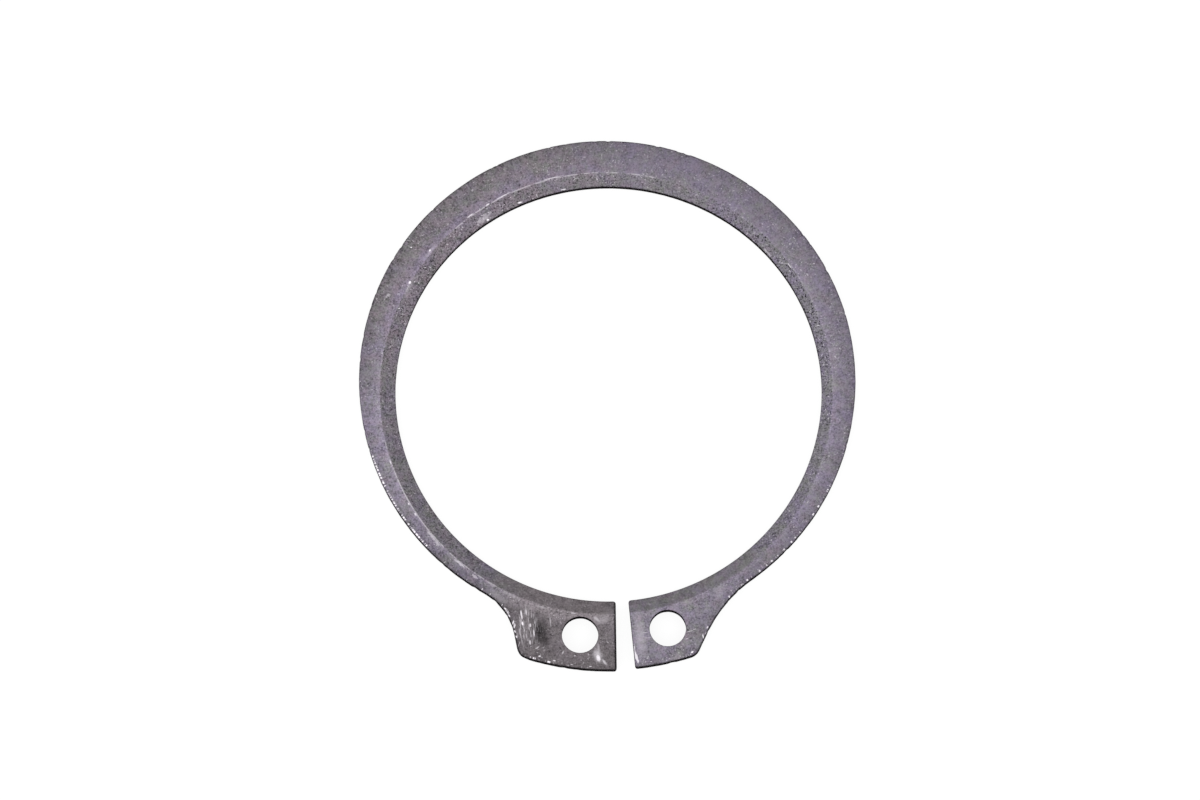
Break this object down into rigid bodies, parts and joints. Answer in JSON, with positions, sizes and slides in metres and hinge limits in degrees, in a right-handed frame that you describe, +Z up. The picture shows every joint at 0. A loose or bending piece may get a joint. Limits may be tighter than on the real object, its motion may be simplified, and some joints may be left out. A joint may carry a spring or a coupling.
{
  "type": "external retaining ring",
  "caption": "Flat open spring-steel ring with a bevelled inner edge and lugs with plier holes, which snaps into a shaft's groove and keeps a part from sliding off.",
  "frame": {"origin": "centre of the bore, on the flat underside that the ring lies on", "axes": "+Z up along the bore's axis, out of the bevelled face; +Y towards the broad back, so the gap and the lugs are at -Y; +X to the side of the slim lug"},
  "size_m": [0.0347, 0.0372, 0.0015],
  "materials": {
    "spring_steel": "phosphated and oiled, dark grey with a faint purple cast, fine grain, worn bright along the edges"
  },
  "bodies": {
    "root": {"retaining_ring": "spring_steel"}
  },
  "joints": []
}
